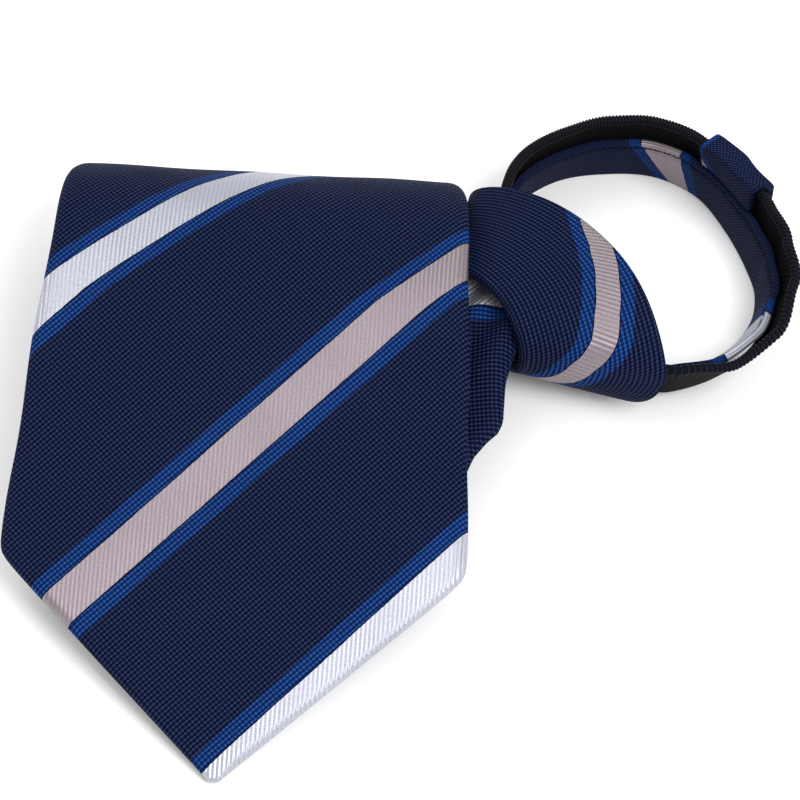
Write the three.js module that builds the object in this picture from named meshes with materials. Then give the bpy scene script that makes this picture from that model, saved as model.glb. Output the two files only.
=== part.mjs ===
// A zipper tie, folded and lying on a surface: a wide padded blade over its own folded stack,
// a hollow knot, and a small closed neck loop of cloth strap and zip tape standing on edge.
// Millimetres, +Z up. Seen from -Y, the blade's tip points down and the loop is at the upper right.
import * as THREE from "three";

const DEGREE = Math.PI / 180;
const GAP = 0.3;

// Blade: a padded ribbon, its flat sizes
const BLADE_WIDTH = 79;
const BLADE_TIP_LENGTH = 37.5;
const BLADE_TAPER = 0.112;
const BLADE_THICKNESS = 3;
const BLADE_EDGE_ROUND = 2.4;
const LARGEST_EDGE_SHARE = 0.6;
const TIP_BLUNT = 0.9;
const TIP_THICKNESS = 1.2;
const TIP_THINNING = 4;

// Blade: how it lies, from its tip over the crest, back underneath and up into the knot
const TIP_POINT = [-30.6, -79.4];
const BLADE_HEADING = 86;
const FRONT_SLOPE = 15.4;
const FRONT_LENGTH = 86;
const CREST_RADIUS = 55;
const CREST_TURN = 16.7;
const ROLL_RADIUS = 20;
const ROLL_TURN = 51.7;
const STACK_RADIUS = 2.7;
const RISING_HEADING = 45;
const RISING_BEND = 19;
const RISING_RADIUS = 40;
const RISING_LENGTH = 12;
const ENTRY_BEND = 22;
const ENTRY_RADIUS = 30;
const ENTRY_DEPTH = 7;
const GATHER_LENGTH = 60;
const GATHER_CURVE = 1.5;
const GATHER_THICKNESS = 7;

// Knot: a hollow wrap between its narrow mouth and its wide rim
const KNOT_WALL = 2.2;
const RIM_WIDTH = 51;
const RIM_DEPTH = 24.6;
const RIM_FLARE = 0.12;
const RIM_BULGE = 8.2;
const RIM_CUTBACK = 3;
const MOUTH_WIDTH = 22;
const MOUTH_DEPTH = 19;
const MOUTH_BULGE = 2;
const RIM_CENTRE = [28.8, 12.9];
const MOUTH_CENTRE = [14.4, 6.8];
const MOUTH_HEIGHT = 15.3;
const KNOT_HEADING = 40;
const KNOT_SQUARENESS = 2.5;
const KNOT_LIP_ROUND = 0.7;
const MOUTH_CLEARANCE = 0.9;

// Neck loop: a cloth strap standing on edge, with zip tape on its outer side
const LOOP_CENTRE = [41, 25];
const LOOP_RADIUS = 24;
const STRAP_WIDTH = 11.5;
const STRAP_THICKNESS = 1.8;
const TAPE_START = 3.2;
const TAPE_WIDTH = 12;
const TAPE_THICKNESS = 1;
const TAPE_CLEARANCE = 0.45;
const COIL_WIDTH = 1.9;
const COIL_HEIGHT = 1.8;
const TAPE_END_GAP = 1;
const SLEEVE_ANGLE = 37;
const SLEEVE_LENGTH = 13.5;
const SLEEVE_WALL = 1;
const SLEEVE_OUTER_LEG = 12;
const SLEEVE_INNER_LEG = 6.3;
const SLIDER_HEIGHT = 11;
const SLIDER_THICKNESS = 5;

// Mesh steps: lengths, the turn of a small arc in degrees, and the sides and rings of the knot
const STRAIGHT_STEP = 9;
const CURVE_STEP = 4.2;
const ARC_STEP = 14;
const STRAP_STEP = 2.2;
const SIDE_STEP = 3;
const KNOT_SIDES = 28;
const KNOT_RINGS = 6;
const LOOP_SAMPLES = 800;

// Sections of the neck loop, anticlockwise from the knot's near side round to its far side:
// place by angle, reach as a share of the loop radius, outward lean of the coil edge.
const LOOP_STATIONS = [
  { angle: -112, reach: 0.83, lean: 0 },
  { angle: -101, reach: 0.875, lean: 2 },
  { angle: -89, reach: 0.91, lean: 8 },
  { angle: -76, reach: 0.94, lean: 23 },
  { angle: -58, reach: 0.93, lean: 31 },
  { angle: -40, reach: 0.955, lean: 28 },
  { angle: -22, reach: 0.975, lean: 17 },
  { angle: -5, reach: 0.96, lean: 8 },
  { angle: 12, reach: 0.92, lean: 4 },
  { angle: 36, reach: 0.945, lean: -3 },
  { angle: 58, reach: 1.055, lean: -10 },
  { angle: 78, reach: 1.125, lean: -12 },
  { angle: 97, reach: 1.14, lean: -13 },
  { angle: 116, reach: 1.18, lean: -17 },
  { angle: 136, reach: 1.18, lean: -16 },
  { angle: 151, reach: 1.145, lean: -16 },
  { angle: 163, reach: 1.06, lean: -14 },
  { angle: 174, reach: 0.93, lean: -9 },
  { angle: 189, reach: 0.78, lean: -2 },
  { angle: 217, reach: 0.72, lean: 0 },
];

const cloth = new THREE.MeshStandardMaterial({ color: 0x1b2a5c, roughness: 0.8, metalness: 0 });
const knotCloth = new THREE.MeshStandardMaterial({ color: 0x22336a, roughness: 0.8, metalness: 0 });
const tapeCloth = new THREE.MeshStandardMaterial({ color: 0x1a1a1f, roughness: 0.9, metalness: 0 });
const coilNylon = new THREE.MeshStandardMaterial({ color: 0x26262b, roughness: 0.5, metalness: 0 });
const sliderMetal = new THREE.MeshStandardMaterial({ color: 0x2b2b30, roughness: 0.4, metalness: 0.8 });

function heading(degrees) {
  return new THREE.Vector3(Math.cos(degrees * DEGREE), Math.sin(degrees * DEGREE), 0);
}

function mix(a, b, share) {
  return a + (b - a) * share;
}

function smooth(share) {
  const s = Math.min(1, Math.max(0, share));
  return s * s * (3 - 2 * s);
}

function signedPower(value, power) {
  return Math.sign(value) * Math.abs(value) ** power;
}

// A closed body from rings of points: neighbouring rings are joined, and the two ends are capped.
function closedLoft(rings, capTriangles) {
  const size = rings[0].length;
  const positions = rings.flat().flatMap((p) => [p.x, p.y, p.z]);
  const triangles = [];
  for (let row = 0; row + 1 < rings.length; row++) {
    for (let i = 0; i < size; i++) {
      const a = row * size + i;
      const b = row * size + ((i + 1) % size);
      triangles.push([a, b, b + size], [a, b + size, a + size]);
    }
  }
  const last = (rings.length - 1) * size;
  for (const [a, b, c] of capTriangles) {
    triangles.push([a, c, b], [last + a, last + b, last + c]);
  }
  return bodyFrom(positions, triangles);
}

// A body closed on itself, such as a wrap with a way through: its last ring joins its first.
function closedRing(rings) {
  const size = rings[0].length;
  const positions = rings.flat().flatMap((p) => [p.x, p.y, p.z]);
  const triangles = [];
  for (let row = 0; row < rings.length; row++) {
    const next = (row + 1) % rings.length;
    for (let i = 0; i < size; i++) {
      const j = (i + 1) % size;
      const a = row * size + i;
      const b = row * size + j;
      const c = next * size + j;
      const d = next * size + i;
      triangles.push([a, b, c], [a, c, d]);
    }
  }
  return bodyFrom(positions, triangles);
}

// Turns the triangles to face out, whichever way round they were listed.
function bodyFrom(positions, triangles) {
  let volume = 0;
  const point = (i) => new THREE.Vector3(positions[3 * i], positions[3 * i + 1], positions[3 * i + 2]);
  for (const [a, b, c] of triangles) {
    volume += point(a).dot(point(b).cross(point(c)));
  }
  const outward = volume > 0 ? triangles : triangles.map(([a, b, c]) => [a, c, b]);
  const geometry = new THREE.BufferGeometry();
  geometry.setAttribute("position", new THREE.Float32BufferAttribute(positions, 3));
  geometry.setIndex(outward.flat());
  geometry.computeVertexNormals();
  return geometry;
}

function piece(name, geometry, material) {
  const mesh = new THREE.Mesh(geometry, material);
  mesh.name = name;
  return mesh;
}

// Blade
// The flat ribbon has s along it from the tip, t across it and h above its middle surface.
// Each fold bends everything past its crease; a positive turn keeps the front face outside.
const bladeForward = heading(BLADE_HEADING);
const bladeRight = heading(BLADE_HEADING - 90);
const slope = FRONT_SLOPE * DEGREE;
const frontDirection = bladeForward.clone().multiplyScalar(Math.cos(slope)).setZ(Math.sin(slope));
const frontNormal = bladeRight.clone().cross(frontDirection);
const restHeight = BLADE_THICKNESS / 2;
const tipOrigin = new THREE.Vector3(TIP_POINT[0], TIP_POINT[1], restHeight);

function arcLength(fold) {
  return fold.radius * Math.abs(fold.turn) * DEGREE;
}

function bend(point, flat, fold) {
  const cosine = Math.cos(fold.skew * DEGREE);
  const sine = Math.sin(fold.skew * DEGREE);
  const reached = (flat.s - fold.at) * cosine + flat.t * sine;
  if (reached <= 0) {
    return point;
  }
  const side = Math.sign(fold.turn);
  const angle = Math.min(reached / fold.radius, Math.abs(fold.turn) * DEGREE);
  const across = (point.s - fold.at) * cosine + point.t * sine - fold.radius * angle;
  const along = -(point.s - fold.at) * sine + point.t * cosine;
  const arm = fold.radius + side * point.h;
  const forward = arm * Math.sin(angle) + across * Math.cos(angle);
  const rise = side * (arm * Math.cos(angle) - fold.radius - across * Math.sin(angle));
  return {
    s: fold.at + forward * cosine - along * sine,
    t: forward * sine + along * cosine,
    h: rise,
  };
}

function place(flat, folds) {
  let point = flat;
  for (const fold of [...folds].reverse()) {
    point = bend(point, flat, fold);
  }
  return tipOrigin
    .clone()
    .addScaledVector(frontDirection, point.s)
    .addScaledVector(bladeRight, point.t)
    .addScaledVector(frontNormal, point.h);
}

// The crest, then the free roll whose radius brings the blade back down onto the surface
const crest = { at: FRONT_LENGTH, skew: 0, turn: CREST_TURN, radius: CREST_RADIUS };
const roll = { at: crest.at + arcLength(crest), skew: 0, turn: ROLL_TURN, radius: ROLL_RADIUS };
const underStart = roll.at + arcLength(roll);
const underHeight = place({ s: underStart, t: 0, h: 0 }, [crest, roll]).z;
const underSlope = CREST_TURN + ROLL_TURN - FRONT_SLOPE;
const under = {
  at: underStart,
  skew: 0,
  turn: 180 - underSlope,
  radius: (underHeight - restHeight) / (1 + Math.cos(underSlope * DEGREE)),
};
const backStart = under.at + arcLength(under);
const backPoint = place({ s: backStart, t: 0, h: 0 }, [crest, roll, under]);

// The stack's lower fold lies where the blade, shifted along its slanted crease by the fold's
// own roundness, crosses the line that rises into the mouth.
const stack = {
  at: 0,
  skew: (RISING_HEADING - BLADE_HEADING) / 2,
  turn: 180,
  radius: STACK_RADIUS,
};
const stackTravel = arcLength(stack) / Math.cos(stack.skew * DEGREE);
const creaseShift = heading(BLADE_HEADING - 90 + stack.skew)
  .multiplyScalar(-arcLength(stack) * Math.tan(stack.skew * DEGREE));
const rising = heading(RISING_HEADING);
const mouthPoint = new THREE.Vector3(MOUTH_CENTRE[0], MOUTH_CENTRE[1], 0);
const backFoot = backPoint.clone().add(creaseShift).setZ(0);
const toMouth = mouthPoint.clone().sub(backFoot);
const crossing = bladeForward.x * rising.y - bladeForward.y * rising.x;
const backLength = -(toMouth.x * rising.y - toMouth.y * rising.x) / crossing;
stack.at = backStart + backLength;
const risingFoot = backFoot.clone().addScaledVector(bladeForward, -backLength);
const riseRun = RISING_RADIUS * Math.sin(RISING_BEND * DEGREE)
  + RISING_LENGTH * Math.cos(RISING_BEND * DEGREE)
  + ENTRY_RADIUS * (Math.sin(RISING_BEND * DEGREE) + Math.sin((ENTRY_BEND - RISING_BEND) * DEGREE));
const risingFlat = risingFoot.distanceTo(mouthPoint) - riseRun;
const lift = { at: stack.at + stackTravel + risingFlat, skew: 0, turn: -RISING_BEND, radius: RISING_RADIUS };
const entryStart = lift.at + arcLength(lift) + RISING_LENGTH;
const entry = { at: entryStart, skew: 0, turn: ENTRY_BEND, radius: ENTRY_RADIUS };
const mouthStart = entry.at + arcLength(entry);
const bladeEnd = mouthStart + ENTRY_DEPTH;
const bladeFolds = [crest, roll, under, stack, lift, entry];

function gathered(s) {
  const share = (s - mouthStart + GATHER_LENGTH) / GATHER_LENGTH;
  return Math.min(1, Math.max(0, share)) ** GATHER_CURVE;
}

function bladeHalfWidth(s) {
  const full = BLADE_WIDTH / 2;
  if (s < BLADE_TIP_LENGTH) {
    return mix(TIP_BLUNT, full, s / BLADE_TIP_LENGTH);
  }
  const natural = full - (s - BLADE_TIP_LENGTH) * BLADE_TAPER / 2;
  const inMouth = MOUTH_WIDTH / 2 - KNOT_WALL - MOUTH_CLEARANCE;
  return mix(natural, inMouth, gathered(s));
}

function bladeHalfThickness(s) {
  if (s < TIP_THINNING) {
    return mix(TIP_THICKNESS, BLADE_THICKNESS, s / TIP_THINNING) / 2;
  }
  return mix(BLADE_THICKNESS, GATHER_THICKNESS, gathered(s) ** 2) / 2;
}

// Rows keep to the lower fold's crease near it and turn square to the blade away from it
function rowSlant(s) {
  const crease = -Math.tan(stack.skew * DEGREE);
  const foldEnd = stack.at + stackTravel;
  if (s < stack.at) {
    return crease * smooth((s - backStart) / backLength);
  }
  return crease * (1 - smooth((s - foldEnd) / (bladeEnd - foldEnd)));
}

function bladeRows() {
  const rows = [0];
  const march = (start, end, step) => {
    const count = Math.max(1, Math.round((end - start) / step));
    for (let i = 1; i <= count; i++) {
      rows.push(mix(start, end, i / count));
    }
  };
  march(0, TIP_THINNING, TIP_THINNING);
  march(TIP_THINNING, BLADE_TIP_LENGTH, STRAIGHT_STEP);
  march(BLADE_TIP_LENGTH, crest.at, STRAIGHT_STEP);
  let done = crest.at;
  for (const fold of bladeFolds) {
    if (fold.at > done) {
      march(done, fold.at, STRAIGHT_STEP);
    }
    march(fold.at, fold.at + arcLength(fold), Math.min(CURVE_STEP, fold.radius * ARC_STEP * DEGREE));
    done = fold.at + arcLength(fold);
  }
  march(done, bladeEnd, STRAIGHT_STEP);
  return rows;
}

// Shares of the half width at which the blade's rows have points, closer at the rounded edges
const BLADE_COLUMNS = [-1, -0.97, -0.9, -0.6, -0.3, 0, 0.3, 0.6, 0.9, 0.97, 1];

function bladeGeometry() {
  const rings = bladeRows().map((s) => {
    const half = bladeHalfWidth(s);
    const roundShare = Math.min(LARGEST_EDGE_SHARE, BLADE_EDGE_ROUND / half);
    const columns = BLADE_COLUMNS.map((share) => {
      const beyond = Math.max(0, (Math.abs(share) - 1 + roundShare) / roundShare);
      return { share, half: bladeHalfThickness(s) * Math.sqrt(Math.max(0, 1 - beyond * beyond)) };
    });
    const top = columns.map((c) => ({ t: c.share * half, h: c.half }));
    const bottom = columns.slice(1, -1).reverse().map((c) => ({ t: c.share * half, h: -c.half }));
    return [...top, ...bottom].map(({ t, h }) => place({ s: s + t * rowSlant(s), t, h }, bladeFolds));
  });
  const count = BLADE_COLUMNS.length;
  const size = 2 * count - 2;
  const cap = [];
  for (let i = 0; i + 1 < count; i++) {
    const below = (size - i) % size;
    const belowNext = size - i - 1;
    if (i > 0) {
      cap.push([i, i + 1, below]);
    }
    if (i + 2 < count || i === 0) {
      cap.push([i + 1, belowNext, i === 0 ? 0 : below]);
    }
  }
  return closedLoft(rings, cap);
}

// Knot
const knotAxis = heading(KNOT_HEADING);
const knotAcross = heading(KNOT_HEADING - 90);

// A point of the wrap: share 0 at the mouth and 1 at the rim, angle round the section from its
// near side over the top, inset from the outer face.
function knotPoint(share, angle, inset) {
  const power = 2 / KNOT_SQUARENESS;
  const sideways = signedPower(Math.cos(angle), power);
  const upward = signedPower(Math.sin(angle), power);
  const halfWidth = mix(MOUTH_WIDTH, RIM_WIDTH, share) / 2 - inset;
  const halfDepth = mix(MOUTH_DEPTH, RIM_DEPTH, share) / 2 - inset;
  const height = mix(MOUTH_HEIGHT, RIM_DEPTH / 2, share);
  const bulge = mix(MOUTH_BULGE, RIM_BULGE, share) * (1 - sideways * sideways) * Math.max(0, upward);
  const cutback = RIM_CUTBACK * share * Math.max(0, -upward);
  const flare = 1 + RIM_FLARE * share * upward;
  return new THREE.Vector3(
    mix(MOUTH_CENTRE[0], RIM_CENTRE[0], share),
    mix(MOUTH_CENTRE[1], RIM_CENTRE[1], share),
    height + halfDepth * upward,
  )
    .addScaledVector(knotAcross, halfWidth * sideways * flare)
    .addScaledVector(knotAxis, bulge - cutback);
}

function knotGeometry() {
  const shares = Array.from({ length: KNOT_RINGS }, (_, i) => i / (KNOT_RINGS - 1));
  const ring = (share, inset, outward) =>
    Array.from({ length: KNOT_SIDES }, (_, i) =>
      knotPoint(share, (i / KNOT_SIDES) * 2 * Math.PI, inset).addScaledVector(knotAxis, outward));
  const outer = shares.map((share) => ring(share, 0, 0));
  const rimLip = ring(1, KNOT_WALL / 2, KNOT_LIP_ROUND);
  const inner = shares.map((share) => ring(share, KNOT_WALL, 0)).reverse();
  const mouthLip = ring(0, KNOT_WALL / 2, -KNOT_LIP_ROUND);
  return closedRing([...outer, rimLip, ...inner, mouthLip]);
}

// Neck loop
// Sections stand along the loop's foot: a point, the outward direction and the coil edge's lean.
const loopCurve = new THREE.CatmullRomCurve3(
  LOOP_STATIONS.map(({ angle, reach }) =>
    heading(angle).multiplyScalar(reach * LOOP_RADIUS).add(new THREE.Vector3(...LOOP_CENTRE, 0))),
  true,
  "centripetal",
);
loopCurve.arcLengthDivisions = LOOP_SAMPLES;
const loopLength = loopCurve.getLength();
const gapShare = GAP / loopLength;

// The strap ends at the last station, and the slider fills the rest of the closed curve
const lastStation = (LOOP_STATIONS.length - 1) / LOOP_STATIONS.length;
const strapEnd = loopCurve.getLengths(LOOP_SAMPLES)[Math.round(lastStation * LOOP_SAMPLES)] / loopLength;

function leanAt(share) {
  const station = loopCurve.getUtoTmapping(share) * LOOP_STATIONS.length;
  const before = Math.floor(station) % LOOP_STATIONS.length;
  const after = (before + 1) % LOOP_STATIONS.length;
  return mix(LOOP_STATIONS[before].lean, LOOP_STATIONS[after].lean, smooth(station - Math.floor(station)));
}

function loopSection(share, profile) {
  const foot = loopCurve.getPointAt(share);
  const tangent = loopCurve.getTangentAt(share);
  const outward = new THREE.Vector3(tangent.y, -tangent.x, 0).normalize();
  const up = new THREE.Vector3(0, 0, 1);
  const lean = leanAt(share) * DEGREE;
  const edge = up.clone().multiplyScalar(Math.cos(lean)).addScaledVector(outward, Math.sin(lean));
  const face = outward.clone().multiplyScalar(Math.cos(lean)).addScaledVector(up, -Math.sin(lean));
  const drop = Math.abs(Math.sin(lean)) * STRAP_THICKNESS / 2;
  return profile.map(([out, height]) =>
    foot.clone().addScaledVector(face, out).addScaledVector(edge, height).setZ(
      out * face.z + height * edge.z + drop));
}

// Long sides of a section are split, so that neighbouring pieces twist alike
function splitSides(profile) {
  return profile.flatMap(([x, y], i) => {
    const [nextX, nextY] = profile[(i + 1) % profile.length];
    const count = Math.max(1, Math.round(Math.hypot(nextX - x, nextY - y) / SIDE_STEP));
    return Array.from({ length: count }, (_, k) => [mix(x, nextX, k / count), mix(y, nextY, k / count)]);
  });
}

// All pieces of the loop share its stations, beside their own two ends
function alongLoop(profile, start, end) {
  const stations = Math.round(loopLength / STRAP_STEP);
  const shares = [start];
  for (let i = Math.ceil(start * stations); i <= end * stations; i++) {
    if (i / stations - start > gapShare && end - i / stations > gapShare) {
      shares.push(i / stations);
    }
  }
  shares.push(end);
  const section = splitSides(profile);
  const rings = shares.map((share) => loopSection(share, section));
  const contour = section.map(([x, y]) => new THREE.Vector2(x, y));
  return closedLoft(rings, THREE.ShapeUtils.triangulateShape(contour, []));
}

function box(outMin, outMax, heightMin, heightMax) {
  return [
    [outMin, heightMin],
    [outMax, heightMin],
    [outMax, heightMax],
    [outMin, heightMax],
  ];
}

function shareAtAngle(degrees) {
  const centre = new THREE.Vector3(...LOOP_CENTRE, 0);
  let best = 0;
  let bestDifference = Infinity;
  for (let i = 0; i <= LOOP_SAMPLES; i++) {
    const share = (i / LOOP_SAMPLES) * strapEnd;
    const point = loopCurve.getPointAt(share).sub(centre);
    const difference = Math.abs(Math.atan2(point.y, point.x) / DEGREE - degrees);
    if (difference < bestDifference) {
      best = share;
      bestDifference = difference;
    }
  }
  return best;
}

const halfStrap = STRAP_THICKNESS / 2;
const tapeIn = halfStrap + TAPE_CLEARANCE;
const tapeMiddle = tapeIn + TAPE_THICKNESS / 2;
const tapeTop = TAPE_START + TAPE_WIDTH;
const coilBottom = tapeTop + GAP;
const coilTop = coilBottom + COIL_HEIGHT;
const tapeProfile = box(tapeIn, tapeIn + TAPE_THICKNESS, TAPE_START, tapeTop);
const coilProfile = box(tapeMiddle - COIL_WIDTH / 2, tapeMiddle + COIL_WIDTH / 2, coilBottom, coilTop);
const strapProfile = [
  [-halfStrap, halfStrap / 2],
  [-halfStrap / 2, 0],
  [halfStrap / 2, 0],
  [halfStrap, halfStrap / 2],
  [halfStrap, STRAP_WIDTH - halfStrap / 2],
  [halfStrap / 2, STRAP_WIDTH],
  [-halfStrap / 2, STRAP_WIDTH],
  [-halfStrap, STRAP_WIDTH - halfStrap / 2],
];
const sleeveIn = tapeMiddle - COIL_WIDTH / 2 - GAP;
const sleeveOut = tapeMiddle + COIL_WIDTH / 2 + GAP;
const sleeveTop = coilTop + GAP;
const sleeveProfile = [
  [sleeveOut + SLEEVE_WALL, sleeveTop + SLEEVE_WALL - SLEEVE_OUTER_LEG],
  [sleeveOut + SLEEVE_WALL, sleeveTop + SLEEVE_WALL / 2],
  [sleeveOut, sleeveTop + SLEEVE_WALL],
  [sleeveIn, sleeveTop + SLEEVE_WALL],
  [sleeveIn - SLEEVE_WALL, sleeveTop + SLEEVE_WALL / 2],
  [sleeveIn - SLEEVE_WALL, sleeveTop + SLEEVE_WALL - SLEEVE_INNER_LEG],
  [sleeveIn, sleeveTop + SLEEVE_WALL - SLEEVE_INNER_LEG],
  [sleeveIn, sleeveTop],
  [sleeveOut, sleeveTop],
  [sleeveOut, sleeveTop + SLEEVE_WALL - SLEEVE_OUTER_LEG],
];
const sleeveMiddle = shareAtAngle(SLEEVE_ANGLE);
const sleeveHalf = SLEEVE_LENGTH / 2 / loopLength;
const tapeEnd = TAPE_END_GAP / 2 / loopLength;
const sliderProfile = box(
  tapeMiddle - SLIDER_THICKNESS / 2,
  tapeMiddle + SLIDER_THICKNESS / 2,
  coilTop - SLIDER_HEIGHT,
  coilTop,
);

const tie = new THREE.Group();
tie.add(
  piece("blade", bladeGeometry(), cloth),
  piece("knot", knotGeometry(), knotCloth),
  piece("neck_strap", alongLoop(strapProfile, 0, strapEnd), cloth),
  piece("zip_tape_right", alongLoop(tapeProfile, 0, sleeveMiddle - tapeEnd), tapeCloth),
  piece("zip_tape_left", alongLoop(tapeProfile, sleeveMiddle + tapeEnd, strapEnd), tapeCloth),
  piece("zip_coil_right", alongLoop(coilProfile, 0, sleeveMiddle - tapeEnd), coilNylon),
  piece("zip_coil_left", alongLoop(coilProfile, sleeveMiddle + tapeEnd, strapEnd), coilNylon),
  piece("tape_sleeve", alongLoop(sleeveProfile, sleeveMiddle - sleeveHalf, sleeveMiddle + sleeveHalf), cloth),
  piece("zip_slider", alongLoop(sliderProfile, strapEnd + gapShare, 1 - gapShare), sliderMetal),
);

// The origin is on the surface, under the middle of the whole tie
const bounds = new THREE.Box3().setFromObject(tie);
const middle = bounds.getCenter(new THREE.Vector3());
tie.position.set(-middle.x, -middle.y, -bounds.min.z);
tie.updateMatrixWorld(true);

export default tie;
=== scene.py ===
"""A zipper tie, folded and lying on a pale surface: the looks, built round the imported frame.

Sizes are in millimetres in the part's own drawing frame, as in its source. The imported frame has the
same axes with its origin under the middle of the tie, so points are moved by DRAWING_SHIFT and
turned to metres when a mesh is made.
"""
import math

import bpy
import numpy as np
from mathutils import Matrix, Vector


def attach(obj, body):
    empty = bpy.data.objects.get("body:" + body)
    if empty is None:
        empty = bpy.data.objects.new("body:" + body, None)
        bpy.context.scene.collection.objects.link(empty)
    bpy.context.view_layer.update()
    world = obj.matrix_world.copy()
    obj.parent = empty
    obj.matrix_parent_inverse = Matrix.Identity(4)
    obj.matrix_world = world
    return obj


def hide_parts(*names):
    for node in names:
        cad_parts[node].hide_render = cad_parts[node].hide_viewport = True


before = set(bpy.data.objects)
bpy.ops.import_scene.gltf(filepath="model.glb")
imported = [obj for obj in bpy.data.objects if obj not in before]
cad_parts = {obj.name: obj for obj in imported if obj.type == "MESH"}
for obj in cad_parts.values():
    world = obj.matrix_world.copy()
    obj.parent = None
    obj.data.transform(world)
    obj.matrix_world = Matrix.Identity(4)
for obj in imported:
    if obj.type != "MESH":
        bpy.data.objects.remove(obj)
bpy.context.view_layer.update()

MM = 0.001
DEGREE = math.pi / 180
DRAWING_SHIFT = np.array([-1.412, 12.88, 0.0])

# Camera: the photograph's angle, distance and scale
CAMERA_ELEVATION = 53
CAMERA_DISTANCE = 750
CAMERA_LENS = 192.4
CAMERA_SENSOR = 36
CAMERA_CLIP = 0.05

# Blade, as in the part's source
BLADE_WIDTH = 79
BLADE_TIP_LENGTH = 37.5
BLADE_TAPER = 0.112
BLADE_THICKNESS = 3
BLADE_EDGE_ROUND = 2.4
LARGEST_EDGE_SHARE = 0.6
TIP_BLUNT = 0.9
TIP_THICKNESS = 1.2
TIP_THINNING = 4
TIP_POINT = (-30.6, -79.4)
BLADE_HEADING = 86
FRONT_SLOPE = 15.4
FRONT_LENGTH = 86
CREST_RADIUS = 55
CREST_TURN = 16.7
ROLL_RADIUS = 20
ROLL_TURN = 51.7
STACK_RADIUS = 2.7
RISING_HEADING = 45
RISING_BEND = 19
RISING_RADIUS = 40
RISING_LENGTH = 12
ENTRY_BEND = 22
ENTRY_RADIUS = 30
ENTRY_DEPTH = 7
GATHER_LENGTH = 60
GATHER_CURVE = 1.5
GATHER_THICKNESS = 7

# Knot, as in the part's source, but with a lower rim bulge and a lower, shallower mouth
KNOT_WALL = 2.2
RIM_WIDTH = 51
RIM_DEPTH = 24.6
RIM_FLARE = 0.12
RIM_BULGE = 7.2
RIM_CUTBACK = 3
MOUTH_WIDTH = 22
MOUTH_DEPTH = 16.6
MOUTH_BULGE = 2
RIM_CENTRE = (28.8, 12.9)
MOUTH_CENTRE = (14.4, 6.8)
MOUTH_HEIGHT = 14.3
KNOT_HEADING = 40
KNOT_SQUARENESS = 2.5
KNOT_LIP_ROUND = 0.7
MOUTH_CLEARANCE = 0.9

# Neck loop, as in the part's source
GAP = 0.3
LOOP_CENTRE = (41, 25)
LOOP_RADIUS = 24
STRAP_WIDTH = 11.5
STRAP_THICKNESS = 1.8
TAPE_START = 3.2
TAPE_WIDTH = 12
TAPE_THICKNESS = 1
TAPE_CLEARANCE = 0.45
COIL_WIDTH = 1.9
COIL_HEIGHT = 1.8
TAPE_END_GAP = 1
SLEEVE_ANGLE = 37
SLEEVE_LENGTH = 13.5
SLEEVE_WALL = 1
SLEEVE_OUTER_LEG = 12
SLEEVE_INNER_LEG = 6.3
LOOP_SAMPLES = 4000
# The loop's direction is taken between two points this far before and behind
LOOP_PROBE = 0.05

# Angle, reach as a share of the loop radius, and outward lean of the coil edge
LOOP_STATIONS = (
    (-112, 0.83, 0), (-101, 0.875, 2), (-89, 0.91, 8), (-76, 0.94, 23), (-58, 0.93, 31),
    (-40, 0.955, 28), (-22, 0.975, 17), (-5, 0.96, 8), (12, 0.92, 4), (36, 0.945, -3),
    (58, 1.055, -10), (78, 1.125, -12), (97, 1.14, -13), (116, 1.18, -17), (136, 1.18, -16),
    (151, 1.145, -16), (163, 1.06, -14), (174, 0.93, -9), (189, 0.78, -2), (217, 0.72, 0),
)

# Cloth: the stripes slope by this much along the cloth for each millimetre across it. A silver and a
# white stripe take turns, each with a dark line and a royal blue border on both sides.
STRIPE_SLOPE = 1.09
STRIPE_LENGTH = math.hypot(1, STRIPE_SLOPE)
STRIPE_PERIOD = 124.2
SILVER_MIDDLE = 58.5
WHITE_MIDDLE = 122.4
STRIPE_HALF = 4.95
LINE_END = 5.35
ROYAL_END = 9.1
NO_STRIPE = 30.0
# Past the crest the photograph shows the stripes a little further on than the drawn cloth
CREST_STRIPE_GAIN = 0.27
CREST_STRIPE_LENGTH = 40
THREAD_ACROSS = 1.03
THREAD_ALONG = 1.05
DASH_LEAN = 0.2
RIB_PITCH = 0.73
SATIN_GLOSS = 0.75
STRAP_WEAVE_SCALE = 0.7

# Colour of the raised threads and of the ground between them
CLOTH_COLOURS = {
    "navy": ((0.019, 0.028, 0.075), (0.0006, 0.0019, 0.0140)),
    "royal": ((0.014, 0.063, 0.250), (0.0012, 0.0085, 0.0500)),
    "line": ((0.004, 0.008, 0.040), (0.0008, 0.0024, 0.0160)),
    "silver": ((0.280, 0.238, 0.262), (0.215, 0.180, 0.198)),
    "white": ((0.440, 0.450, 0.512), (0.345, 0.355, 0.415)),
}


def heading(degrees):
    return np.array([math.cos(degrees * DEGREE), math.sin(degrees * DEGREE), 0.0])


def mix(a, b, share):
    return a + (b - a) * share


def smooth(share):
    s = np.clip(share, 0, 1)
    return s * s * (3 - 2 * s)


def signed_power(value, power):
    return np.sign(value) * np.abs(value) ** power


def stripe_place(off, half, middle, border=STRIPE_LENGTH):
    """The stripe coordinate at off millimetres from the middle of a stripe, with half its width in half."""
    inside = np.minimum(np.abs(off), half) / half * STRIPE_HALF
    outside = np.maximum(0, np.abs(off) - half) * border
    return middle + np.sign(off) * np.minimum(inside + outside, NO_STRIPE)


def in_scene(name, data):
    made = bpy.data.objects.new(name, data)
    bpy.context.scene.collection.objects.link(made)
    return made


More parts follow.
